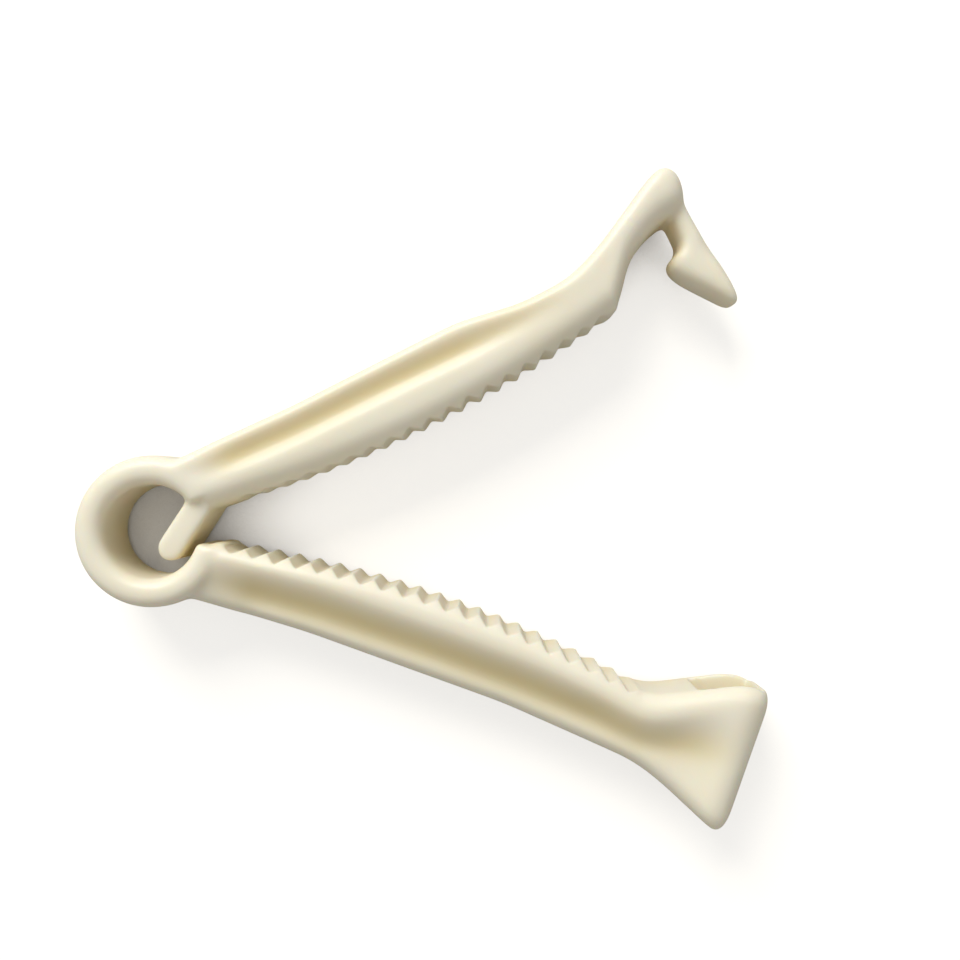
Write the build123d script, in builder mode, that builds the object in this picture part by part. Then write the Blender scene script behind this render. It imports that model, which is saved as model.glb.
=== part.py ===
"""Umbilical cord clamp, stored open, lying flat on its side.

One injection moulding: a C-shaped hinge ring, two bowed toothed jaws, a guard
tongue inside the ring, a latch hook on the upper jaw and a socket on the lower.
Millimetres, +Z up. The origin is the centre of the hinge ring on the table
plane, and +X halves the angle between the open jaws. Each jaw is drawn in its
own frame: X along the jaw from the ring's centre, Y away from the other jaw.
"""
import math
import os

from build123d import *

# Whole clamp
thickness = 8.0
opening_angle = 46.3
jaw_reach = 53.0
block_rounding = 1.4

# Corners of the ring and bars, rounded in flat steps that keep the mesh light
corner_steps = 4

# Hinge ring, a C of rounded section that runs a little past each jaw
ring_inner_radius = 3.95
ring_wall = 2.5
ring_rounding = 1.15
upper_ring_overlap = 4.0
lower_ring_overlap = 5.5

# Teeth, the same pitch on both jaws so that they mesh when it is shut
tooth_pitch = 1.875
tooth_depth = 0.7
first_tooth_from_ring = 1.2
tooth_cut_reach = 4.0

# Jaw bars: each is an arc that bows towards the other jaw
bar_sink = 1.55
bar_gap_rounding = 1.4
bar_back_rounding = 1.8
lower_bow_radius = 105.0
lower_bow_shift = 0.8
lower_bow_height = 2.65
lower_bar_width = 3.8
upper_bow_radius = 100.0
upper_bow_shift = 1.8
upper_bow_height = 2.6
upper_bar_width = 3.4

# Back of each jaw: how far it stands from the jaw's axis, and its side recesses
back_height = 4.05
back_root_reach = 2.0
back_root_rise = 0.85
back_neck_reach = 8.2
back_neck_rise = 0.3
back_front_reach = 15.0
lower_rear_lead = 11.1
lower_back_swell = 0.15
lower_back_rise = 0.8
lower_rise_lead = 4.0
lower_plate_overlap = 2.0
upper_rear_lead = 10.0
upper_waist_lead = 4.5
upper_waist_height = 3.0
upper_arm_swell = 0.15
back_chamfer = 0.3
recess_root_rise = 0.55
recess_depth = 1.5
recess_lip = 0.5
recess_slope = 1.7

# Guard tongue inside the ring
tongue_width = 2.0
tongue_length = 3.5
tongue_thickness = 5.2
tongue_angle = 29.8
tongue_sink = 0.35
tongue_chamfer = 0.4

# Latch hook: a full-thickness arm and knee, then a narrower leg and barb
arm_length = 12.0
toothless_arm = 9.1
arm_back_height = 2.73
arm_heel = 1.55
knee_height = 8.65
knee_depth = 4.65
knee_crook = 0.85
crook_rounding = 1.4
arm_waist = 1.9
arm_waist_reach = 2.1
arm_waist_rounding = 3.0
arm_heel_rounding = 0.6
leg_thickness = 4.8
leg_width = 1.75
leg_rounding = 0.5
leg_sink = 3.0
leg_flare = 0.55
leg_flare_start = 2.0
leg_flare_end = -1.0
leg_flare_rounding = 3.5
barb_top = 0.6
barb_tip = -5.4
barb_overhang = 1.5
barb_toe_height = 1.6
barb_bulge = 0.7

# Fit of the barb in its socket when the clamp is shut
closing_shift = 0.5
shut_gap = 1.3
latch_clearance = 0.2

# Latch socket at the free end of the lower jaw
socket_end_wall = 0.8
socket_top = -4.6
socket_base = 8.8
socket_lean = 0.15
socket_mouth = 2.5
socket_length = 10.1
socket_heel_height = 5.6
socket_heel_length = 7.7
socket_root_overlap = 1.8
socket_root_height = 3.1
ledge_thickness = 1.5
ledge_undercut = 0.8
ledge_edge_rounding = 0.2
slot_rounding = 0.6
slot_pocket_turn = 1.2
slot_floor_run = 2.2
slot_floor_slope = 0.9
slot_cut_margin = 1.0
dish_depth = 0.7
dish_taper = 62.0
dish_rounding = 1.2
dish_root = (0.9, 2.0)
dish_top = (-1.2, -1.9)
dish_heel = (-2.4, 6.6)

# Worked out from the sizes above
mid_height = thickness / 2
half_opening = math.radians(opening_angle / 2)
ring_outer_radius = ring_inner_radius + ring_wall
bar_start = ring_outer_radius - bar_sink
lower_first_tooth = bar_start + first_tooth_from_ring
upper_first_tooth = lower_first_tooth + tooth_pitch / 2 + closing_shift
arm_start = jaw_reach - arm_length
arm_tooth_end = jaw_reach - toothless_arm
leg_near = jaw_reach - leg_width
barb_toe = leg_near - barb_overhang
barb_back = jaw_reach + barb_bulge
slot_near = barb_toe - closing_shift - latch_clearance
slot_far = barb_back - closing_shift + latch_clearance
slot_half_width = leg_thickness / 2 + latch_clearance
slot_floor = -barb_tip - shut_gap + latch_clearance
socket_end = slot_far + socket_end_wall
ramp_start = socket_end - socket_length
lower_bow_middle = (bar_start + ramp_start) / 2 + lower_bow_shift
upper_bow_middle = (bar_start + arm_tooth_end) / 2 + upper_bow_shift


def jaw_plane(side):
    """Gives a jaw's plane: X along the jaw, Y away from the gap, at mid height."""
    along = (math.cos(half_opening), side * math.sin(half_opening), 0)
    return Plane(origin=(0, 0, mid_height), x_dir=along, z_dir=(0, 0, side))


def on_arc(centre, radius, angle):
    """Gives the point at a radius and angle about a centre of curvature."""
    return (centre[0] + radius * math.sin(angle), centre[1] - radius * math.cos(angle))


def at_reach(centre, radius, reach):
    """Gives the angle about a centre of curvature that lies at a reach along the jaw."""
    return math.asin((reach - centre[0]) / radius)


def section_plane(jaw, centre, angle):
    """Gives the plane across an arc, with X outwards along its radius."""
    origin = jaw.from_local_coords(Vector(*centre))
    radial = jaw.from_local_coords(Vector(*on_arc(centre, 1, angle))) - origin
    return Plane(origin=origin, x_dir=radial, z_dir=radial.cross(jaw.z_dir))


def stepped_section(outer, width, outer_rounding, inner_rounding):
    """Gives the outline of a full-thickness section whose corners turn in flat steps."""
    points = []
    for corner in range(4):
        outwards = corner in (0, 3)
        rounding = outer_rounding if outwards else inner_rounding
        x = outer - rounding if outwards else outer - width + rounding
        y = (mid_height - rounding) * (1 if corner < 2 else -1)
        for step in range(corner_steps + 1):
            angle = (corner + step / corner_steps) * math.pi / 2
            points.append((x + rounding * math.cos(angle), y + rounding * math.sin(angle)))
    return points


def crest_depth(width):
    """Gives how far the middle of a bar's flat crest lies behind the bar's gap side."""
    return (bar_gap_rounding + width - bar_back_rounding) / 2


def tooth_wave(centre, radius, first_tooth, last_tooth):
    """Gives the points of the wave that parts a row of teeth from the gap."""
    step = tooth_pitch / radius
    angle = at_reach(centre, radius, first_tooth)
    points = [on_arc(centre, radius + tooth_cut_reach, angle), on_arc(centre, radius, angle)]
    for _ in range(int((last_tooth - first_tooth) / tooth_pitch)):
        points.append(on_arc(centre, radius - tooth_depth, angle + step / 2))
        points.append(on_arc(centre, radius, angle + step))
        angle += step
    points.append(on_arc(centre, radius + tooth_cut_reach, angle))
    return points


def toothed_bar(jaw, centre, radius, width, end, first_tooth):
    """Makes a bar of rounded section bent along its arc, with its row of teeth."""
    from_angle = at_reach(centre, radius, bar_start)
    to_angle = at_reach(centre, radius, end)
    wave = tooth_wave(centre, radius, first_tooth, end)
    with BuildPart() as bar:
        with BuildSketch(section_plane(jaw, centre, from_angle)):
            with BuildLine():
                Polyline(*stepped_section(radius, width, bar_gap_rounding, bar_back_rounding), close=True)
            make_face()
        bow_axis = Axis(jaw.from_local_coords(Vector(*centre)), jaw.z_dir)
        revolve(axis=bow_axis, revolution_arc=math.degrees(to_angle - from_angle))
        with BuildSketch(jaw):
            with BuildLine():
                Polyline(*wave, close=True)
            make_face()
        extrude(amount=thickness, both=True, mode=Mode.SUBTRACT)
    return bar.part


def lowered(points, depth):
    """Gives a line of points moved towards the gap."""
    return [(x, y - depth) for x, y in points]


def jaw_plate(jaw, centre, radius, back_line, end):
    """Makes the plate behind a bar, with a sloping recess in each of its sides."""
    recess_line = [(bar_start, back_height + recess_root_rise), *back_line[2:-1]]
    bar_root = on_arc(centre, radius, at_reach(centre, radius, bar_start))
    to_angle = at_reach(centre, radius, end)
    with BuildPart() as plate:
        with BuildSketch(jaw):
            with BuildLine():
                back = Spline(*back_line)
                front = RadiusArc(bar_root, on_arc(centre, radius, to_angle), -radius)
                Line(back @ 0, front @ 0)
                Line(back @ 1, front @ 1)
            make_face()
        extrude(amount=mid_height, both=True)
        rims = plate.faces().filter_by(Axis.Z).edges().filter_by(GeomType.BSPLINE)
        chamfer(rims, back_chamfer)
        for side in (1, -1):
            mouth = (mid_height, lowered(recess_line, recess_lip))
            foot = (mid_height - recess_depth, lowered(recess_line[:-1], recess_lip + recess_slope))
            for height, line in (mouth, foot):
                stop = on_arc(centre, radius, at_reach(centre, radius, line[-1][0]))
                with BuildSketch(jaw.offset(side * height)):
                    with BuildLine():
                        back = Spline(*line)
                        front = RadiusArc(bar_root, stop, -radius)
                        Line(back @ 0, front @ 0)
                        Line(back @ 1, front @ 1)
                    make_face()
            loft(ruled=True, mode=Mode.SUBTRACT)
    return plate.part


upper = jaw_plane(1)
lower = jaw_plane(-1)

# Hinge ring, open towards the gap between the jaws
ring_from = half_opening - math.radians(upper_ring_overlap)
ring_to = 2 * math.pi - half_opening + math.radians(lower_ring_overlap)
ring_plane = Plane.XY.offset(mid_height)
with BuildPart() as hinge_ring:
    with BuildSketch(section_plane(ring_plane, (0, 0), ring_from + math.pi / 2)):
        with BuildLine():
            Polyline(*stepped_section(ring_outer_radius, ring_wall, ring_rounding, ring_rounding), close=True)
        make_face()
    ring_axis = Axis(ring_plane.origin, ring_plane.z_dir)
    revolve(axis=ring_axis, revolution_arc=math.degrees(ring_to - ring_from))

# Bars and plates of both jaws
back_start = [
    (back_root_reach, back_height + back_root_rise),
    (back_neck_reach, back_height + back_neck_rise),
    (back_front_reach, back_height),
]
lower_back = [
    *back_start,
    (ramp_start - lower_rear_lead, back_height + lower_back_swell),
    (ramp_start - lower_rise_lead, back_height + lower_back_rise),
    (ramp_start, back_height + lower_back_rise),
    (ramp_start + lower_plate_overlap, back_height + lower_back_rise),
]
lower_centre = (lower_bow_middle, lower_bow_radius - lower_bow_height)
lower_web_radius = lower_bow_radius - crest_depth(lower_bar_width)
lower_bar = toothed_bar(lower, lower_centre, lower_bow_radius, lower_bar_width, ramp_start, lower_first_tooth)
lower_plate = jaw_plate(lower, lower_centre, lower_web_radius, lower_back, ramp_start + lower_plate_overlap)

upper_back = [
    *back_start,
    (arm_start - upper_rear_lead, back_height),
    (arm_start - upper_waist_lead, upper_waist_height),
    (arm_start, upper_waist_height + upper_arm_swell),
    (arm_tooth_end, upper_waist_height + upper_arm_swell),
]
upper_centre = (upper_bow_middle, upper_bow_radius - upper_bow_height)
upper_web_radius = upper_bow_radius - crest_depth(upper_bar_width)
upper_bar = toothed_bar(upper, upper_centre, upper_bow_radius, upper_bar_width, arm_tooth_end, upper_first_tooth)
upper_plate = jaw_plate(upper, upper_centre, upper_web_radius, upper_back, arm_tooth_end)

# Guard tongue, a rounded finger that keeps the cord out of the ring
tongue_turn = math.radians(tongue_angle)
tongue_root = (ring_inner_radius - tongue_sink, -tongue_sink / 2)
tongue_middle = (
    tongue_root[0] - tongue_length / 2 * math.cos(tongue_turn),
    tongue_root[1] - tongue_length / 2 * math.sin(tongue_turn),
)
with BuildPart() as tongue:
    with BuildSketch(upper):
        with Locations(tongue_middle):
            SlotCenterToCenter(tongue_length, tongue_width, rotation=tongue_angle)
    extrude(amount=tongue_thickness / 2, both=True)
    chamfer(tongue.faces().filter_by(Axis.Z).edges(), tongue_chamfer)

# Arm and knee of the latch hook, as thick as the jaw
arm_underside = knee_height - knee_depth
with BuildPart() as knee:
    with BuildSketch(upper):
        with BuildLine():
            FilletPolyline(
                (arm_start, arm_back_height),
                (jaw_reach, knee_height),
                (jaw_reach, arm_underside),
                (leg_near - knee_crook, arm_underside),
                (arm_tooth_end + arm_waist_reach, arm_waist),
                (arm_tooth_end, -arm_heel),
                (arm_start, -arm_heel / 2),
                radius=[0, block_rounding, 0, crook_rounding, arm_waist_rounding, arm_heel_rounding, 0],
                close=True,
            )
        make_face()
    extrude(amount=mid_height, both=True)
    fillet(knee.faces().filter_by(Axis.Z).edges(), block_rounding)

# Leg and barb, narrower than the jaw so that they enter the socket
leg_root = knee_height - leg_sink
with BuildPart() as latch:
    with BuildSketch(upper):
        with BuildLine():
            FilletPolyline(
                (leg_near, leg_root),
                (leg_near, barb_top),
                (barb_toe, barb_top),
                (barb_toe, barb_top - barb_toe_height),
                (barb_back, barb_tip),
                (jaw_reach + leg_flare, leg_flare_end),
                (jaw_reach, leg_flare_start),
                (jaw_reach, leg_root),
                radius=[0, 0, *[leg_rounding] * 3, *[leg_flare_rounding] * 2, 0],
                close=True,
            )
        make_face()
    extrude(amount=leg_thickness / 2, both=True)
    fillet(latch.faces().filter_by(Axis.Z).edges(), leg_rounding)

# Latch socket: ramp, ledge, slot for the barb and a shallow dish each side
ledge_under = socket_top + ledge_thickness
with BuildPart() as socket:
    with BuildSketch(lower):
        with BuildLine():
            FilletPolyline(
                (ramp_start, 0.0),
                (socket_end - socket_mouth, socket_top),
                (socket_end + socket_lean, socket_top),
                (socket_end - socket_lean, socket_base),
                (socket_end - socket_heel_length, socket_heel_height),
                (ramp_start - socket_root_overlap, socket_root_height),
                radius=block_rounding,
                close=True,
            )
        make_face()
    extrude(amount=mid_height, both=True)
    fillet(socket.faces().filter_by(Axis.Z).edges(), block_rounding)

dish_outline = [
    (ramp_start + dish_root[0], dish_root[1]),
    (socket_end + dish_top[0], dish_top[1]),
    (socket_end + dish_heel[0], dish_heel[1]),
]
with BuildPart() as dishes:
    with BuildSketch(lower.offset(mid_height)):
        with BuildLine():
            FilletPolyline(*dish_outline, radius=dish_rounding, close=True)
        make_face()
    extrude(amount=-dish_depth, taper=dish_taper)
    mirror(about=lower)

# The clamp is one moulding
lower_pieces = (lower_plate, lower_bar, socket.part)
upper_pieces = (upper_plate, upper_bar, knee.part, latch.part, tongue.part)
with BuildPart() as cord_clamp:
    add(hinge_ring.part)
    for piece in (*lower_pieces, *upper_pieces):
        add(piece)
    with BuildSketch(lower):
        with BuildLine():
            FilletPolyline(
                (slot_near, socket_top - slot_cut_margin),
                (slot_far, socket_top - slot_cut_margin),
                (slot_far, slot_floor - slot_floor_slope),
                (slot_far - slot_floor_run, slot_floor),
                (slot_near - ledge_undercut, slot_pocket_turn),
                (slot_near - ledge_undercut, ledge_under),
                (slot_near, ledge_under),
                radius=[0, 0, *[slot_rounding] * 3, ledge_edge_rounding, 0],
                close=True,
            )
        make_face()
    extrude(amount=slot_half_width, both=True, mode=Mode.SUBTRACT)
    add(dishes.part, mode=Mode.SUBTRACT)

os.makedirs("parts", exist_ok=True)
cord_clamp.part.label = "cord_clamp"
export_step(cord_clamp.part, "parts/cord_clamp.step")
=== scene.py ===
"""Looks of an ivory umbilical cord clamp that lies open on a white table.

Sizes are in millimetres in the classes and in metres in the meshes. Each jaw is shaped in its own
frame: "along" runs from the hinge ring to the latch, and "away" points away from the other jaw.
"""

import logging
import math
from dataclasses import dataclass, field
from enum import Enum

import bmesh
import bpy
import numpy as np
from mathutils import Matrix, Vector

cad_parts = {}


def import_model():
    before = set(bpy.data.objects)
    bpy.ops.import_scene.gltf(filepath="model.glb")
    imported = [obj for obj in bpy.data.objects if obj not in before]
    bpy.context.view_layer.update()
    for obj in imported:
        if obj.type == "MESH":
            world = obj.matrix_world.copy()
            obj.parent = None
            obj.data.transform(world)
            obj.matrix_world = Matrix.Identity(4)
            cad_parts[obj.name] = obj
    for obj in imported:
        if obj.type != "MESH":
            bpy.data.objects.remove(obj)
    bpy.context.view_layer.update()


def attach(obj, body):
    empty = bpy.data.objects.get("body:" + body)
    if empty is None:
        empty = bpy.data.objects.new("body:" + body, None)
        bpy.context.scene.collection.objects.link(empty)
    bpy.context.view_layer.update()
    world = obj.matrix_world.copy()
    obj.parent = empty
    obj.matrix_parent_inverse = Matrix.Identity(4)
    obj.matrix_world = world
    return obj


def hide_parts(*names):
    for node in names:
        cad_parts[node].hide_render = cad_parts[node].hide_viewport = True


MM = 0.001
THICKNESS = 8.0
HALF = THICKNESS / 2
HALF_OPENING = math.radians(23.15)
# the point attribute that weights the painted shade in the side grooves
GROOVE_SHADE_ATTRIBUTE = "groove"
LOG = logging.getLogger("cord_clamp")

# Points of (place, value), between which the value goes straight
Line = tuple[tuple[float, float], ...]


class JawSide(Enum):
    """Which of the two jaws: the sign of its side of the gap."""

    HOOK = 1
    SOCKET = -1


def linear(hex_colour: str) -> tuple[float, float, float, float]:
    """Turn an sRGB hex colour into the linear colour that Blender's sockets take.

    Args:
        hex_colour: Six hex digits, such as "f4efd8".

    Returns:
        Linear red, green, blue and an alpha of 1.
    """
    channels = [int(hex_colour[i:i + 2], 16) / 255 for i in (0, 2, 4)]
    return tuple(c / 12.92 if c <= 0.04045 else ((c + 0.055) / 1.055) ** 2.4 for c in channels) + (1.0,)


def add_node(tree: bpy.types.NodeTree, kind: str, settings: dict | None = None,
             **inputs: object) -> bpy.types.Node:
    """Add a node with its settings, values and links.

    Args:
        tree: The node tree to add to.
        kind: The node's Blender type name.
        settings: Attributes of the node.
        inputs: Socket names, with spaces as underscores, or in0, in1 by place, each with a value or an
            output socket.

    Returns:
        The new node.
    """
    node = tree.nodes.new(kind)
    for key, value in (settings or {}).items():
        setattr(node, key, value)
    for key, value in inputs.items():
        socket = node.inputs[int(key[2:])] if key[2:].isdigit() else node.inputs[key.replace("_", " ")]
        if isinstance(value, bpy.types.NodeSocket):
            tree.links.new(value, socket)
        else:
            socket.default_value = value
    return node


def select_only(piece: bpy.types.Object) -> None:
    """Select one object and make it the active one.

    Args:
        piece: The object to select.
    """
    bpy.ops.object.select_all(action="DESELECT")
    piece.select_set(True)
    bpy.context.view_layer.objects.active = piece


def apply_modifier(piece: bpy.types.Object, kind: str, **settings: object) -> None:
    """Add a modifier and apply it.

    Args:
        piece: The object to modify.
        kind: The modifier's type name.
        settings: The modifier's attributes.
    """
    select_only(piece)
    modifier = piece.modifiers.new(kind.title(), kind)
    for key, value in settings.items():
        setattr(modifier, key, value)
    bpy.ops.object.modifier_apply(modifier=modifier.name)


def in_world(side: JawSide, along: float, away: float, height: float) -> Vector:
    """Turn a place in a jaw's frame into metres in the clamp's frame.

    Args:
        side: Whose frame it is.
        along: Distance from the ring's centre along the jaw.
        away: Distance away from the other jaw.
        height: Height above the table.

    Returns:
        The place in metres.
    """
    c, s = math.cos(HALF_OPENING), math.sin(HALF_OPENING)
    return Vector((along * c - away * s, side.value * (along * s + away * c), height)) * MM


def start_loop(name: str, points: list[Vector], fill: str = "NOTHING") -> bpy.types.Object:
    """Add a ring of vertices, lay it on the given points and stay in edit mode.

    Args:
        name: The new object's name.
        points: Where its vertices go, in metres.
        fill: "NGON" fills the ring with a face.

    Returns:
        The new object, in edit mode with all of it selected.
    """
    bpy.ops.object.select_all(action="DESELECT")
    bpy.ops.mesh.primitive_circle_add(vertices=len(points), radius=MM, fill_type=fill)
    piece = bpy.context.object
    piece.name = name
    for vertex, point in zip(piece.data.vertices, points):
        vertex.co = point
    bpy.ops.object.mode_set(mode="EDIT")
    bpy.ops.mesh.select_all(action="SELECT")
    return piece


def close_mesh() -> None:
    """Fill the open ends of the mesh in edit mode, turn its faces outwards and leave edit mode."""
    bpy.ops.mesh.select_all(action="SELECT")
    bpy.ops.mesh.fill_holes(sides=0)
    bpy.ops.mesh.normals_make_consistent(inside=False)
    bpy.ops.object.mode_set(mode="OBJECT")


def drawn_out(name: str, loops: list[list[Vector]]) -> bpy.types.Object:
    """Extrude a ring of edges from section to section and close its ends.

    Args:
        name: The new object's name.
        loops: The sections' points in metres, the same number in each.

    Returns:
        The closed piece.
    """
    digits = 8
    piece = start_loop(name, loops[0])
    for here, there in zip(loops, loops[1:]):
        bpy.ops.mesh.extrude_edges_move()
        targets = {tuple(round(c, digits) for c in a): b for a, b in zip(here, there)}
        mesh = bmesh.from_edit_mesh(piece.data)
        for vertex in mesh.verts:
            if vertex.select:
                vertex.co = targets[tuple(round(c, digits) for c in vertex.co)]
        bmesh.update_edit_mesh(piece.data)
    close_mesh()
    return piece


def block(name: str, side: JawSide, outline: list[tuple[float, float]], thickness: float,
          rounding: float) -> bpy.types.Object:
    """Extrude an outline at the middle of the clamp's height and bevel all its edges.

    Args:
        name: The new object's name.
        side: The jaw in whose frame the outline is.
        outline: Its (along, away) points.
        thickness: Its height from face to face.
        rounding: The bevel's width.

    Returns:
        The rounded block.
    """
    foot = HALF - thickness / 2
    piece = start_loop(name, [in_world(side, along, away, foot) for along, away in outline], "NGON")
    bpy.ops.mesh.extrude_region_move(TRANSFORM_OT_translate={"value": (0, 0, thickness * MM)})
    close_mesh()
    apply_modifier(piece, "BEVEL", width=rounding * MM, segments=5, limit_method="ANGLE", angle_limit=0.3)
    return piece


def cut_away(piece: bpy.types.Object, tool: bpy.types.Object) -> None:
    """Cut one object out of another and delete the tool.

    Args:
        piece: The object that is cut.
        tool: The object that cuts.
    """
    apply_modifier(piece, "BOOLEAN", object=tool, operation="DIFFERENCE", solver="EXACT")
    bpy.data.objects.remove(tool, do_unlink=True)


def joined(pieces: list[bpy.types.Object], name: str) -> bpy.types.Object:
    """Join objects into the first of them.

    Args:
        pieces: The objects.
        name: The joined object's name.

    Returns:
        The joined object.
    """
    select_only(pieces[0])
    for piece in pieces:
        piece.select_set(True)
    bpy.ops.object.join()
    pieces[0].name = name
    return pieces[0]


def reported(piece: bpy.types.Object) -> bpy.types.Object:
    """Log a piece's name and number of faces.

    Args:
        piece: The piece.

    Returns:
        The same piece.
    """
    LOG.info("%s: %d faces", piece.name, len(piece.data.polygons))
    return piece


def points_of(piece: bpy.types.Object) -> np.ndarray:
    """Read the places of an object's vertices.

    Args:
        piece: The object.

    Returns:
        Rows of x, y, z in millimetres.
    """
    flat = np.empty(len(piece.data.vertices) * 3)
    piece.data.vertices.foreach_get("co", flat)
    return flat.reshape(-1, 3) / MM


def read_line(line: Line, places: np.ndarray | float) -> np.ndarray | float:
    """Read a line of points at the given places."""
    return np.interp(places, *zip(*line))


def eased(x: np.ndarray | float, low: float, high: float) -> np.ndarray | float:
    """Go smoothly from 0 at low to 1 at high.

    Args:
        x: Where.
        low: Where it starts.
        high: Where it ends.

    Returns:
        The share from 0 to 1.
    """
    t = np.clip((x - low) / (high - low), 0, 1)
    return t * t * (3 - 2 * t)


def quarter_round(share: np.ndarray | float) -> np.ndarray | float:
    """Give how far a quarter circle of radius 1 has dropped at a share of its width."""
    return 1 - np.sqrt(1 - share ** 2)


@dataclass(frozen=True)
class MouldedNylon:
    """Ivory nylon, injection moulded in a fine-blasted tool.

    Nylon this thick is slightly cloudy: light enters it, so lips glow. Its corners and side grooves are also
    painted a darker, warmer shade.

    Attributes:
        base: Its main colour.
        pale: Its colour in the paler streaks.
        corner: Its painted shade colour, darker and warmer, where little of the sky is seen.
        groove: Its painted shade colour, darker and warmer, in the side grooves.
        streak_mm: How long the streaks are.
        grit_mm: How wide the grit of the blasted tool is drawn.
        grit_height_mm: How high the grit is drawn.
        corner_shade_mm: How far off a surface still casts the painted corner shade.
        scatter_mm: How far light goes under the surface.
    """

    base: str = "f1ead3"
    pale: str = "f5efdc"
    corner: str = "ecdfb9"
    groove: str = "e7d6a4"
    streak_mm: float = 12.0
    grit_mm: float = 0.25
    grit_height_mm: float = 0.02
    corner_shade_mm: float = 5.0
    scatter_mm: float = 1.2

    def material(self) -> bpy.types.Material:
        """Make the material.

        Returns:
            The finished material.
        """
        material = bpy.data.materials.new("moulded_nylon_ivory")
        material.use_nodes = True
        tree = material.node_tree
        shader = tree.nodes["Principled BSDF"]
        place = add_node(tree, "ShaderNodeTexCoord").outputs["Object"]
        # the flow of the melt leaves faint cloudy streaks
        flow = add_node(tree, "ShaderNodeTexNoise", Vector=place, Scale=1 / (self.streak_mm * MM), Detail=3.0)
        cloud = add_node(tree, "ShaderNodeMapRange", Value=flow.outputs["Fac"], From_Min=0.35, From_Max=0.65)
        tint = add_node(tree, "ShaderNodeMix", {"data_type": "RGBA"}, in0=cloud.outputs["Result"],
                        in6=linear(self.base), in7=linear(self.pale))
        # painted shade: the colour turns darker and warmer in corners, by how little sky they see, and in the
        # side grooves
        cover = add_node(tree, "ShaderNodeAmbientOcclusion", {"samples": 4}, Distance=self.corner_shade_mm * MM)
        corner = add_node(tree, "ShaderNodeMapRange", Value=cover.outputs["AO"], From_Min=0.45, From_Max=0.9,
                          To_Min=1.0, To_Max=0.0)
        corners = add_node(tree, "ShaderNodeMix", {"data_type": "RGBA"}, in0=corner.outputs["Result"],
                           in6=tint.outputs[2], in7=linear(self.corner))
        # painted shade: the side grooves get a darker, warmer colour, weighted by a point attribute
        groove = add_node(tree, "ShaderNodeAttribute", {"attribute_name": GROOVE_SHADE_ATTRIBUTE})
        groove_shaded = add_node(tree, "ShaderNodeMix", {"data_type": "RGBA"}, in0=groove.outputs["Fac"],
                        in6=corners.outputs[2], in7=linear(self.groove))
        tree.links.new(groove_shaded.outputs[2], shader.inputs["Base Color"])
        # the blasted tool leaves a grit of about 0.15 mm, drawn wider so that it shows
        grit = add_node(tree, "ShaderNodeTexNoise", Vector=place, Scale=1 / (self.grit_mm * MM), Detail=2.0)
        sheen = add_node(tree, "ShaderNodeMapRange", Value=grit.outputs["Fac"], To_Min=0.36, To_Max=0.5)
        tree.links.new(sheen.outputs["Result"], shader.inputs["Roughness"])
        skin = add_node(tree, "ShaderNodeBump", Height=grit.outputs["Fac"], Strength=0.12,
                        Distance=self.grit_height_mm * MM)
        tree.links.new(skin.outputs["Normal"], shader.inputs["Normal"])
        shader.inputs["IOR"].default_value = 1.53
        shader.inputs["Subsurface Weight"].default_value = 0.5
        shader.inputs["Subsurface Radius"].default_value = (1.0, 0.72, 0.42)
        shader.inputs["Subsurface Scale"].default_value = self.scatter_mm * MM
        return material


@dataclass
class HingeRing:
    """The C-shaped hinge ring of rounded section.

    Attributes:
        inner_radius: The hole's radius.
        wall: The ring's width between the hole and the outside.
        rounding: The radius of its four corners.
        starts: The angle, in degrees, at which it leaves the hook's jaw.
        ends: The angle, in degrees, at which it meets the socket's jaw.
        steps: How many steps it is spun in.
        corner_steps: How many steps each corner has.
    """

    inner_radius: float = 3.95
    wall: float = 2.5
    rounding: float = 1.2
    starts: float = 30.0
    ends: float = 342.35
    steps: int = 110
    corner_steps: int = 8

    def section(self) -> list[Vector]:
        """Give the rounded section in the plane of the ring's start.

        Returns:
            Its points in metres.
        """
        turn = math.radians(self.starts)
        points = []
        for corner in range(4):
            outer = corner in (0, 3)
            middle = self.inner_radius + (self.wall - self.rounding if outer else self.rounding)
            level = HALF + (HALF - self.rounding) * (1 if corner < 2 else -1)
            for step in range(self.corner_steps + 1):
                angle = (corner + step / self.corner_steps) * math.pi / 2
                radius = middle + self.rounding * math.cos(angle)
                height = level + self.rounding * math.sin(angle)
                points.append(Vector((radius * math.cos(turn), radius * math.sin(turn), height)) * MM)
        return points

    def build(self) -> bpy.types.Object:
        """Spin the section round the ring's centre.

        Returns:
            The ring.
        """
        piece = start_loop("hinge_ring", self.section())
        sweep = math.radians(self.ends - self.starts)
        bpy.ops.mesh.spin(steps=self.steps, angle=sweep, center=(0, 0, 0), axis=(0, 0, -1))
        close_mesh()
        return piece


@dataclass
class GuardTongue:
    """The finger inside the ring that keeps the cord out of it.

    Attributes:
        root: The middle of its rounded root, in the frame of the hook's jaw.
        length: From the middle of its root to the middle of its tip's rounding.
        width: Its width, seen from above.
        thickness: Its height from face to face.
        rounding: How round its edges are.
        turn: The angle, in degrees, between it and the jaw.
        end_steps: How many steps each rounded end has.
    """

    root: tuple[float, float] = (4.4, 0.1)
    length: float = 4.2
    width: float = 2.25
    thickness: float = 6.2
    rounding: float = 0.7
    turn: float = 29.8
    end_steps: int = 10

    def build(self) -> bpy.types.Object:
        """Extrude the rounded finger.

        Returns:
            The tongue.
        """
        turn = math.radians(self.turn)
        outline = []
        for end in (0, 1):
            middle_along = self.root[0] - end * self.length * math.cos(turn)
            middle_away = self.root[1] - end * self.length * math.sin(turn)
            for step in range(self.end_steps + 1):
                angle = turn + (step / self.end_steps - 0.5 + end) * math.pi
                outline.append((middle_along + self.width / 2 * math.cos(angle),
                                middle_away + self.width / 2 * math.sin(angle)))
        return block("guard_tongue", JawSide.HOOK, outline, self.thickness, self.rounding)


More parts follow.
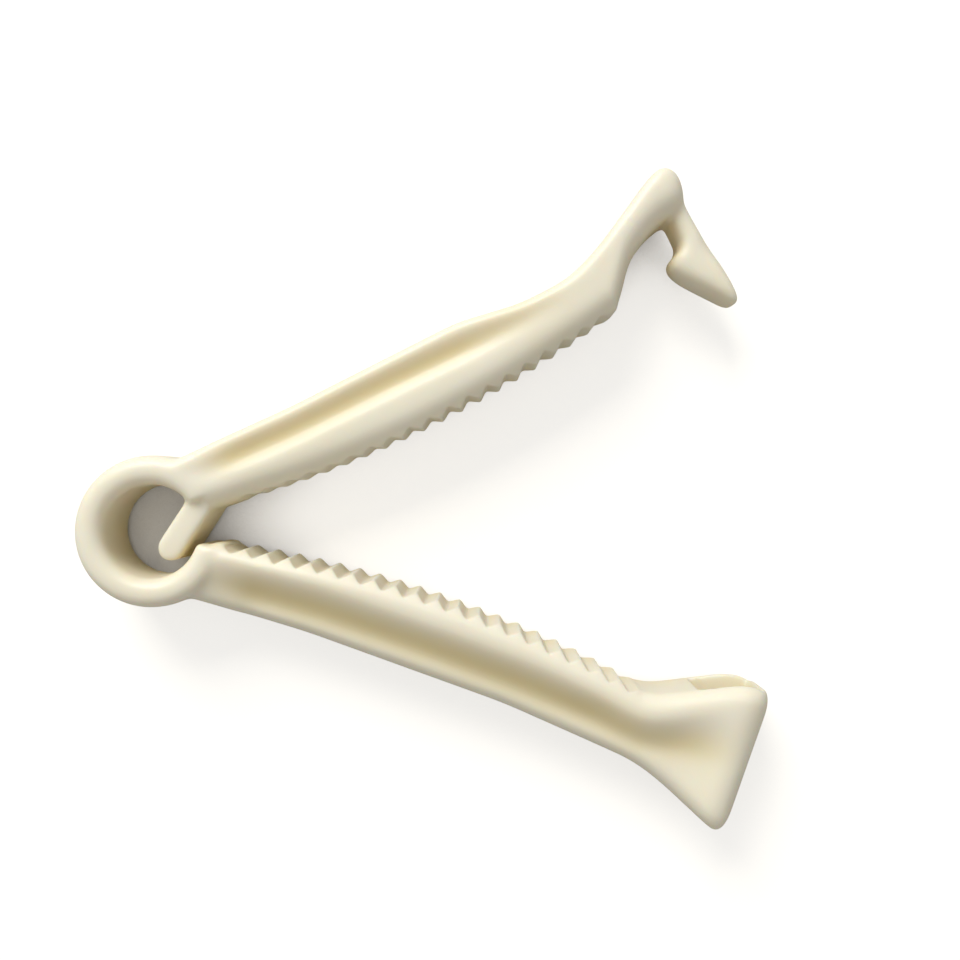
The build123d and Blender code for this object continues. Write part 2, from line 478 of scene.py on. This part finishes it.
@dataclass
class TeethRow:
    """V teeth across a jaw's bar, at one pitch along its bow.

    Attributes:
        first: Where along the jaw the row starts.
        count: How many notches part the teeth.
        strength: Which share of the full depth a notch has, over its place in the row from 0 to 1.
        pitch: From tooth to tooth.
        depth: The full depth of a notch.
        land: The flat left on a tooth's tip.
        fade_outside: How far outside the row the crisp zone starts.
        fade_inside: How far inside the row it is fully crisp.
        overshoot: How far the bars that cut the notches stand out of each face.
        below_tips: From where to where below the tips the crisp zone fades out.
        above_tips: From where to where it fades in, counted the same way, so below zero in the gap.
    """

    first: float
    count: int
    strength: Line
    pitch: float = 1.875
    depth: float = 0.72
    land: float = 0.04
    fade_outside: float = 0.8
    fade_inside: float = 0.6
    overshoot: float = 1.0
    below_tips: tuple[float, float] = (1.0, 1.8)
    above_tips: tuple[float, float] = (-0.8, -0.3)


@dataclass
class Jaw:
    """One jaw, drawn out from section to section along its length.

    Attributes:
        side: Which jaw it is.
        bow_middle: Where along the jaw it bows deepest towards the other one.
        bow_radius: The bow's radius.
        bow_height: How deep the bow goes.
        gap_end: The gap side past the bow's end.
        back: The side away from the gap.
        groove: Where the side groove is deepest.
        groove_depth: How deep the groove is.
        shoulder: How wide the bar's slope into the groove is.
        end_rounding: How round the free end's corners are, seen from above.
        end_slope: How far from the free end its faces start to fall away.
        gap_rounding: How round the edge at the gap is.
        back_rounding: How round the edge at the back is.
        lip: How far inside the back edge the groove's outer slope ends.
        bead: Which share of the groove's depth is left on that lip.
        shade_shift: How far outside the groove's bottom its painted shade is strongest.
        shade_reach: How far the painted shade reaches to both sides.
        teeth: The row of teeth.
        ring_crest: The radius in the ring on which the jaw starts.
        root_blend: How long the sections take to turn from that arc to straight.
        least_arc: The least square of that arc's place along the jaw, for points far out from it.
        least_slope: The least width of the groove's outer slope.
        ease_reach: How far to both sides a line's corners are eased.
        ease_width: The half width of the hump that weights the eased points.
        ease_points: How many points are weighted.
        bow_lead: How far before the bow's end the eased line past it starts.
        end_stations: How many sections round the free end.
        end_share: Which share of the quarter turn they cover.
        shade_flank: From where to where, above or below mid-height, the groove's painted shade comes in.
        spacing: From section to section.
        across: How many points each half of a section has.
    """

    side: JawSide
    bow_middle: float
    bow_radius: float
    bow_height: float
    gap_end: Line
    back: Line
    groove: Line
    groove_depth: Line
    shoulder: Line
    end_rounding: float
    end_slope: float
    gap_rounding: float
    back_rounding: float
    lip: float
    bead: float
    shade_shift: float
    shade_reach: float
    teeth: TeethRow
    ring_crest: float = 5.2
    root_blend: float = 3.6
    least_arc: float = 0.5
    least_slope: float = 0.2
    ease_reach: float = 1.8
    ease_width: float = 2.0
    ease_points: int = 13
    bow_lead: float = 3.0
    end_stations: int = 9
    end_share: float = 0.97
    shade_flank: tuple[float, float] = (0.5, 1.5)
    spacing: float = 0.35
    across: int = 34

    def bow_line(self, along: np.ndarray | float) -> np.ndarray | float:
        """Give how far away the tooth tips lie, for places along the jaw."""
        drop = np.sqrt(self.bow_radius ** 2 - (along - self.bow_middle) ** 2)
        return self.bow_radius - self.bow_height - drop

    def stations(self) -> np.ndarray:
        """List the places along the jaw that have a section, closer together at the free end.

        Returns:
            The places.
        """
        end = self.back[-1][0]
        quarter = np.linspace(0, self.end_share, self.end_stations) * math.pi / 2
        straight = np.arange(self.ring_crest, end - self.end_rounding, self.spacing)
        return np.concatenate([straight, end - self.end_rounding * (1 - np.sin(quarter))])

    def softened(self, line: Line, along: np.ndarray) -> np.ndarray:
        """Read a line at the stations, with its corners eased.

        Args:
            line: The line.
            along: Where to read it.

        Returns:
            The values.
        """
        offsets = np.linspace(-self.ease_reach, self.ease_reach, self.ease_points)
        weights = 1 - (offsets / self.ease_width) ** 2
        values = [w * read_line(line, along + o) for w, o in zip(weights, offsets)]
        return np.sum(values, axis=0) / weights.sum()

    def section(self, along: float, gap: float, back: float, groove: float, depth: float, shoulder: float,
                inset: float, fall: float) -> list[Vector]:
        """Give one section's outline, from the gap side over the top and back underneath.

        Args:
            along: Where it is.
            gap: Its side at the gap.
            back: Its side away from the gap.
            groove: Where its groove is deepest.
            depth: How deep the groove is.
            shoulder: How wide the bar's slope into the groove is.
            inset: How much the free end's rounding takes off its sides.
            fall: How much the free end's slope takes off its height.

        Returns:
            Its points in metres.
        """
        gap, back, top = gap + inset, back - inset, HALF - fall
        # the points lie closer together towards both edges
        turn = (1 - np.cos(np.linspace(0, 1, self.across) * math.pi)) / 2
        away = gap + (back - gap) * turn
        gap_turn = np.clip(1 - (away - gap) / self.gap_rounding, 0, 1)
        back_turn = np.clip(1 - (back - away) / self.back_rounding, 0, 1)
        rim = back - self.lip
        slope_in = eased((away - groove + shoulder) / shoulder, 0, 1)
        slope_out = eased((rim - away) / max(rim - groove, self.least_slope), 0, 1)
        dip = np.where(away < groove, slope_in, self.bead + (1 - self.bead) * slope_out)
        height = top - depth * dip
        height -= self.gap_rounding * quarter_round(gap_turn)
        height -= self.back_rounding * quarter_round(back_turn)
        arc = np.sqrt(np.clip(self.ring_crest ** 2 - away ** 2, self.least_arc, None))
        place = arc + (along - arc) * eased(along, self.ring_crest, self.ring_crest + self.root_blend)
        upper = [in_world(self.side, x, y, HALF + z) for x, y, z in zip(place, away, height)]
        lower = [in_world(self.side, x, y, HALF - z) for x, y, z in zip(place, away, height)]
        return upper + lower[::-1]

    def body(self) -> bpy.types.Object:
        """Draw the jaw out without its teeth.

        Returns:
            The jaw's body.
        """
        along = self.stations()
        end = self.back[-1][0]
        bow_end = self.gap_end[0][0]
        lead = bow_end - self.bow_lead
        past_bow = self.softened(((lead, self.bow_line(lead)), *self.gap_end), along)
        gap = np.where(along < bow_end, self.bow_line(np.minimum(along, bow_end)), past_bow)
        lines = [self.softened(line, along)
                 for line in (self.back, self.groove, self.groove_depth, self.shoulder)]
        roundings = [size * quarter_round(1 - np.clip((end - along) / size, 0, 1))
                     for size in (self.end_rounding, self.end_slope)]
        rows = zip(along, gap, *lines, *roundings)
        return drawn_out(f"{self.side.name.lower()}_jaw", [self.section(*row) for row in rows])

    def place_notch(self, tool: bpy.types.Object, index: int) -> None:
        """Size a diamond bar, turn it square to the bow and lay it between two teeth.

        Args:
            tool: The bar, with a radius of 1 mm, at the origin.
            index: Its number in the row.
        """
        row = self.teeth
        start = math.asin((row.first - self.bow_middle) / self.bow_radius)
        angle = start + (index + 0.5) * row.pitch / self.bow_radius
        along = self.bow_middle + self.bow_radius * math.sin(angle)
        away = self.bow_radius - self.bow_height - self.bow_radius * math.cos(angle)
        half_width = (row.pitch - row.land) / 2
        depth = row.depth * read_line(row.strength, index / (row.count - 1))
        turn = self.side.value * (HALF_OPENING + angle)
        c, s = math.cos(turn), math.sin(turn)
        for vertex in tool.data.vertices:
            x, y = vertex.co.x * half_width, vertex.co.y * depth
            vertex.co = Vector((x * c - y * s, x * s + y * c, vertex.co.z))
            vertex.co += in_world(self.side, along, away, HALF)

    def tooth_tool(self) -> bpy.types.Object:
        """Make the diamond bars that part the teeth: one is added, and the others are its copies.

        Returns:
            All the bars as one object.
        """
        length = THICKNESS + 2 * self.teeth.overshoot
        bpy.ops.object.select_all(action="DESELECT")
        bpy.ops.mesh.primitive_cylinder_add(vertices=4, radius=MM, depth=length * MM)
        tools = [bpy.context.object]
        for _ in range(self.teeth.count - 1):
            tool = tools[0].copy()
            tool.data = tools[0].data.copy()
            bpy.context.collection.objects.link(tool)
            tools.append(tool)
        for index, tool in enumerate(tools):
            self.place_notch(tool, index)
        return joined(tools, "tooth_tool")

    def build(self) -> bpy.types.Object:
        """Draw the jaw out and cut its teeth.

        Returns:
            The toothed jaw.
        """
        body = self.body()
        cut_away(body, self.tooth_tool())
        return body

    def local(self, points: np.ndarray) -> tuple[np.ndarray, np.ndarray]:
        """Turn points into the jaw's own frame.

        Args:
            points: Rows of x, y, z in millimetres.

        Returns:
            Distances along the jaw, and away from the other jaw.
        """
        c, s = math.cos(HALF_OPENING), math.sin(HALF_OPENING)
        x, y = points[:, 0], points[:, 1] * self.side.value
        return x * c + y * s, y * c - x * s

    def groove_shade(self, points: np.ndarray) -> np.ndarray:
        """Weigh the painted shade in the side groove at each point: 1 on its inner slope, 0 outside it.

        Args:
            points: Rows of x, y, z in millimetres.

        Returns:
            One number from 0 to 1 for each point.
        """
        along, away = self.local(points)
        groove, depth = (read_line(line, along) for line in (self.groove, self.groove_depth))
        deepest = max(value for _, value in self.groove_depth)
        spot = np.exp(-((away - groove - self.shade_shift) / self.shade_reach) ** 2)
        return spot * depth / deepest * eased(np.abs(points[:, 2] - HALF), *self.shade_flank)

    def crispness(self, points: np.ndarray) -> np.ndarray:
        """Say how crisp the jaw stays at each point: 1 on the teeth, 0 away from them.

        Args:
            points: Rows of x, y, z in millimetres.

        Returns:
            One number from 0 to 1 for each point.
        """
        along, away = self.local(points)
        row = self.teeth
        last = row.first + row.count * row.pitch
        inside = eased(along, row.first - row.fade_outside, row.first + row.fade_inside)
        inside *= 1 - eased(along, last - row.fade_inside, last + row.fade_outside)
        below = away - self.bow_line(np.clip(along, row.first, last))
        return inside * (1 - eased(below, *row.below_tips)) * eased(below, *row.above_tips)


def hook_jaw() -> Jaw:
    """Give the jaw that ends in the arm and knee of the hook.

    Returns:
        The jaw with its sizes.
    """
    return Jaw(
        side=JawSide.HOOK,
        bow_middle=26.2,
        bow_radius=100.0,
        bow_height=2.6,
        gap_end=((43.7, -1.3), (44.2, -0.9), (45.8, 1.75), (48.0, 3.0), (50.2, 3.95), (53.0, 4.0)),
        back=((2.0, 4.9), (8.2, 4.35), (15.0, 4.05), (31.0, 4.05), (36.5, 3.05), (41.0, 3.1), (44.0, 4.1),
              (48.0, 6.1), (50.6, 7.5), (52.0, 8.0), (53.55, 8.3)),
        groove=((5.0, 2.8), (8.0, 2.3), (14.5, 1.95), (24.0, 1.85), (35.0, 1.6), (41.0, 1.8)),
        groove_depth=((5.8, 0.0), (9.0, 0.5), (30.0, 0.5), (40.5, 0.0)),
        shoulder=((5.0, 1.5), (41.0, 1.5)),
        end_rounding=1.9,
        end_slope=2.0,
        gap_rounding=2.15,
        back_rounding=0.9,
        lip=0.3,
        bead=0.1,
        shade_shift=0.3,
        shade_reach=1.0,
        teeth=TeethRow(
            first=7.54, count=19, strength=((0.0, 0.3), (0.25, 0.5), (0.6, 1.0), (0.85, 0.9), (1.0, 0.6))
        ),
    )


def socket_jaw() -> Jaw:
    """Give the jaw that ends in the latch socket.

    Returns:
        The jaw with its sizes.
    """
    return Jaw(
        side=JawSide.SOCKET,
        bow_middle=25.3,
        bow_radius=105.0,
        bow_height=2.65,
        gap_end=((43.8, -1.0), (44.6, -1.0), (51.9, -4.6), (54.4, -4.6)),
        back=((2.0, 4.9), (8.2, 4.35), (15.0, 4.05), (33.0, 4.2), (40.0, 4.75), (45.0, 5.1), (47.5, 5.85),
              (54.5, 8.75)),
        groove=((5.0, 3.3), (8.2, 3.0), (15.2, 2.6), (24.5, 2.55), (33.0, 2.7), (40.7, 3.1), (45.0, 3.7),
                (49.2, 2.9), (53.0, 2.4)),
        groove_depth=((5.0, 0.0), (9.5, 1.9), (40.0, 1.9), (45.0, 1.5), (47.3, 1.5), (49.5, 1.3),
                      (53.4, 0.0)),
        shoulder=((5.0, 3.4), (15.0, 3.6), (36.0, 3.5), (44.0, 2.9), (47.0, 3.9), (50.0, 4.9), (54.0, 4.9)),
        end_rounding=1.3,
        end_slope=2.9,
        gap_rounding=1.5,
        back_rounding=1.7,
        lip=0.8,
        bead=0.9,
        shade_shift=-1.1,
        shade_reach=1.5,
        teeth=TeethRow(first=6.1, count=20, strength=((0.0, 0.7), (0.1, 1.0), (0.8, 1.0), (1.0, 0.8))),
    )


@dataclass
class LatchHook:
    """The hook's flexing leg and its barb, thinner than the jaws and rounded like a pebble.

    Attributes:
        sections: From the knee to the barb's tip, each section's distance away from the other jaw, its side
            at the jaw, its free side and its thickness over the faces.
        squareness: 2 gives oval sections, and more gives squarer ones.
        corners: How many points a section has.
    """

    sections: tuple[tuple[float, float, float, float], ...] = (
        (6.2, 51.1, 53.2, 4.8),
        (3.4, 51.15, 53.2, 4.8),
        (1.6, 51.1, 53.3, 4.8),
        (1.0, 50.6, 53.35, 4.8),
        (0.8, 49.9, 53.4, 4.8),
        (0.5, 49.6, 53.45, 4.8),
        (-0.1, 49.5, 53.5, 4.8),
        (-1.0, 49.85, 53.65, 4.8),
        (-1.9, 50.45, 53.75, 4.8),
        (-2.9, 51.2, 53.8, 4.7),
        (-3.8, 51.9, 53.8, 4.5),
        (-4.5, 52.4, 53.75, 4.1),
        (-4.95, 52.8, 53.65, 3.6),
        (-5.15, 53.1, 53.5, 2.8),
    )
    squareness: float = 2.7
    corners: int = 32

    def build(self) -> bpy.types.Object:
        """Draw the leg and barb out from section to section.

        Returns:
            The leg with its barb.
        """
        turns = np.arange(self.corners) / self.corners * 2 * math.pi
        power = 2 / self.squareness
        across, up = (np.sign(wave) * np.abs(wave) ** power for wave in (np.cos(turns), np.sin(turns)))
        loops = []
        for away, inner, outer, thick in self.sections:
            along = (inner + outer) / 2 + (outer - inner) / 2 * across
            heights = HALF + thick / 2 * up
            loops.append([in_world(JawSide.HOOK, x, away, z) for x, z in zip(along, heights)])
        return drawn_out("latch_leg", loops)


@dataclass
class LatchSlot:
    """The slot in the socket, undercut by a ledge that the barb snaps under.

    Attributes:
        near: Its mouth's side at the teeth.
        far: Its side at the free end.
        mouth: Above its open side.
        ledge_under: The underside of the ledge.
        undercut: How far the pocket goes under the ledge.
        pocket_floor: How deep the pocket is under the ledge.
        floor: How deep the slot is.
        end_floor: How deep it is at the free end.
        floor_step: How far from the free end it reaches its depth.
        width: Its width over the clamp's thickness.
        rounding: How round its edges are.
    """

    near: float = 49.05
    far: float = 53.4
    mouth: float = -6.5
    ledge_under: float = -3.1
    undercut: float = 0.8
    pocket_floor: float = 1.2
    floor: float = 4.3
    end_floor: float = 3.4
    floor_step: float = 2.2
    width: float = 5.0
    rounding: float = 0.25

    def tool(self) -> bpy.types.Object:
        """Make the block that cuts the slot.

        Returns:
            The tool.
        """
        pocket = self.near - self.undercut
        outline = [
            (self.near, self.mouth),
            (self.far, self.mouth),
            (self.far, self.end_floor),
            (self.far - self.floor_step, self.floor),
            (pocket, self.pocket_floor),
            (pocket, self.ledge_under),
            (self.near, self.ledge_under),
        ]
        return block("slot_tool", JawSide.SOCKET, outline, self.width, self.rounding)


@dataclass
class Clamp:
    """The whole clamp as one moulding.

    Attributes:
        ring: The hinge ring.
        tongue: The guard tongue inside it.
        hook: The jaw with the hook's arm and knee.
        socket: The jaw with the latch socket.
        latch: The hook's leg and barb.
        slot: The slot in the socket.
        voxel: The grain of the skin that the parts are melted into.
        rounds: How many times the whole skin is smoothed.
        extra_rounds: How many times more the latch leg and the ring's root are smoothed.
        tooth_share: Which share of the smoothing the teeth get.
        levels: How many strengths of smoothing are told apart.
        latch_from: Where along the hook's jaw the extra smoothing starts.
        latch_beyond: How far from the middle line it starts.
        root_zone: From where to where, out from the ring's centre, the root's extra smoothing fades.
        triangles: How many triangles the finished skin has.
    """

    ring: HingeRing = field(default_factory=HingeRing)
    tongue: GuardTongue = field(default_factory=GuardTongue)
    hook: Jaw = field(default_factory=hook_jaw)
    socket: Jaw = field(default_factory=socket_jaw)
    latch: LatchHook = field(default_factory=LatchHook)
    slot: LatchSlot = field(default_factory=LatchSlot)
    voxel: float = 0.12
    rounds: int = 26
    extra_rounds: int = 60
    tooth_share: float = 0.3
    levels: int = 20
    latch_from: float = 47.5
    latch_beyond: float = 8.0
    root_zone: tuple[float, float] = (8.0, 11.0)
    triangles: int = 190000

    def build(self) -> bpy.types.Object:
        """Build every part and melt them into one softened skin.

        Returns:
            The bare clamp.
        """
        makers = (self.ring, self.tongue, self.hook, self.socket, self.latch)
        ring, tongue, hook, socket, leg = [reported(maker.build()) for maker in makers]
        cut_away(socket, self.slot.tool())
        piece = joined([ring, tongue, hook, socket, leg], "moulded_clamp")
        apply_modifier(piece, "REMESH", mode="VOXEL", voxel_size=self.voxel * MM)
        self.soften(piece)
        apply_modifier(piece, "DECIMATE", ratio=self.triangles / (2 * len(piece.data.polygons)))
        return piece

    def dress(self, piece: bpy.types.Object) -> None:
        """Give the clamp its material and its place among the solids.

        Args:
            piece: The bare clamp.
        """
        select_only(piece)
        bpy.ops.object.shade_smooth()
        points = points_of(piece)
        # weights of the painted shade in the side grooves
        groove_shade_weight = np.maximum(self.hook.groove_shade(points), self.socket.groove_shade(points))
        piece.data.attributes.new(GROOVE_SHADE_ATTRIBUTE, "FLOAT", "POINT").data.foreach_set("value", groove_shade_weight)
        piece.data.materials.clear()
        piece.data.materials.append(MouldedNylon().material())
        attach(piece, "root")
        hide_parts("cord_clamp")

    def smooth(self, piece: bpy.types.Object, name: str, weights: np.ndarray, rounds: int) -> None:
        """Smooth a piece by a weight at each vertex.

        Args:
            piece: The piece.
            name: The name of the vertex group that holds the weights.
            weights: One number from 0 to 1 for each vertex.
            rounds: How many times it is smoothed.
        """
        steps = np.round(weights * self.levels).astype(int)
        group = piece.vertex_groups.new(name=name)
        for level in range(1, self.levels + 1):
            group.add(np.nonzero(steps == level)[0].tolist(), level / self.levels, "REPLACE")
        apply_modifier(piece, "SMOOTH", factor=0.5, iterations=rounds, vertex_group=name)

    def soften(self, piece: bpy.types.Object) -> None:
        """Round the skin off where parts meet, least on the teeth.

        Args:
            piece: The remeshed clamp.
        """
        points = points_of(piece)
        crisp = np.maximum(self.hook.crispness(points), self.socket.crispness(points))
        self.smooth(piece, "soft", 1 - (1 - self.tooth_share) * crisp, self.rounds)
        latch = (points[:, 1] > self.latch_beyond) & (self.hook.local(points)[0] > self.latch_from)
        root = 1 - eased(np.hypot(points[:, 0], points[:, 1]), *self.root_zone)
        self.smooth(piece, "softer", np.maximum(latch, root) * (1 - crisp), self.extra_rounds)
        piece.vertex_groups.clear()


@dataclass
class Studio:
    """White table, soft light from beyond the clamp, and the camera.

    Attributes:
        table_colour: The table's own linear colour.
        table_side: Its side in metres.
        table_drop: How far it lies under the clamp, in metres.
        lift: How much it glows to the camera under open sky.
        open_sky: From which share of the sky it starts to glow, and at which it glows fully.
        sky_mm: How far off a surface still hides the sky.
        key_place: Where the lamp hangs, in metres.
        key_aim: Where it points, in metres.
        key_side: Its side in metres.
        key_power: Its power in watts.
        sky_strength: The strength of the white sky.
        sensor: The width of the camera's sensor.
        lens: The camera's focal length.
        nearest: The nearest that the camera sees, in metres.
        camera_place: Where the camera stands, in metres.
        camera_turn: Its turn about its own axis, in degrees.
    """

    table_colour: tuple[float, float, float, float] = (0.54, 0.51, 0.45, 1.0)
    table_side: float = 2.0
    table_drop: float = 0.00005
    lift: float = 0.66
    open_sky: tuple[float, float] = (0.13, 0.4)
    sky_mm: float = 9.0
    key_place: tuple[float, float, float] = (-0.25, 0.75, 0.6)
    key_aim: tuple[float, float, float] = (0.025, 0.0, 0.0)
    key_side: float = 0.5
    key_power: float = 8.3
    sky_strength: float = 0.42
    sensor: float = 36.0
    lens: float = 38.8125
    nearest: float = 0.005
    camera_place: tuple[float, float, float] = (0.0280, 0.00252, 0.0943)
    camera_turn: float = -3.75

    def table_material(self) -> bpy.types.Material:
        """Make the table's matt white, whose glow to the camera fades deep inside the ring, a painted shade
        over the real one.

        Returns:
            The finished material.
        """
        material = bpy.data.materials.new("white_table")
        material.use_nodes = True
        tree = material.node_tree
        shader = tree.nodes["Principled BSDF"]
        shader.inputs["Base Color"].default_value = self.table_colour
        shader.inputs["Roughness"].default_value = 0.95
        shader.inputs["Specular IOR Level"].default_value = 0.0
        shader.inputs["Emission Color"].default_value = linear("ffffff")
        # the table glows white to the camera where it sees open sky; where the sky is hidden, as deep inside
        # the ring, the glow fades, a painted shade over the real one
        seen = add_node(tree, "ShaderNodeLightPath").outputs["Is Camera Ray"]
        sky = add_node(tree, "ShaderNodeAmbientOcclusion", {"samples": 12}, Distance=self.sky_mm * MM)
        glow = add_node(tree, "ShaderNodeMapRange", Value=sky.outputs["AO"], From_Min=self.open_sky[0],
                        From_Max=self.open_sky[1], To_Min=0.0, To_Max=self.lift)
        shown = add_node(tree, "ShaderNodeMath", {"operation": "MULTIPLY"}, in0=seen,
                         in1=glow.outputs["Result"])
        tree.links.new(shown.outputs[0], shader.inputs["Emission Strength"])
        return material

    def table(self) -> None:
        """Lay the white table."""
        bpy.ops.object.select_all(action="DESELECT")
        bpy.ops.mesh.primitive_plane_add(size=self.table_side, location=(0, 0, -self.table_drop))
        table = bpy.context.object
        table.name = "table"
        table.data.materials.append(self.table_material())

    def key_lamp(self) -> None:
        """Hang the square soft lamp that faces the clamp."""
        light = bpy.data.lights.new("key", "AREA")
        light.size = self.key_side
        light.energy = self.key_power
        lamp = bpy.data.objects.new("key", light)
        lamp.location = self.key_place
        facing = Vector(self.key_aim) - Vector(self.key_place)
        lamp.rotation_euler = facing.to_track_quat("-Z", "Y").to_euler()
        bpy.context.collection.objects.link(lamp)

    def sky(self) -> None:
        """Put a white sky over the table."""
        world = bpy.data.worlds.new("world")
        world.use_nodes = True
        background = world.node_tree.nodes["Background"]
        background.inputs["Color"].default_value = linear("ffffff")
        background.inputs["Strength"].default_value = self.sky_strength
        bpy.context.scene.world = world

    def camera(self) -> None:
        """Set the camera straight above, as in the photograph."""
        data = bpy.data.cameras.new("camera")
        data.lens = self.lens
        data.sensor_width = self.sensor
        data.clip_start = self.nearest
        camera = bpy.data.objects.new("camera", data)
        camera.location = self.camera_place
        camera.rotation_euler = (0, 0, math.radians(self.camera_turn))
        bpy.context.collection.objects.link(camera)
        bpy.context.scene.camera = camera

    def build(self) -> None:
        """Set up the table, lamp, sky and camera."""
        self.table()
        self.key_lamp()
        self.sky()
        bpy.context.scene.view_settings.view_transform = "Standard"
        self.camera()


def main() -> None:
    """Build the clamp and the studio in order."""
    logging.basicConfig(level=logging.INFO, format="%(message)s")
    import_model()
    clamp = Clamp()
    piece = clamp.build()
    clamp.dress(piece)
    reported(piece)
    Studio().build()


if __name__ == "__main__":
    main()
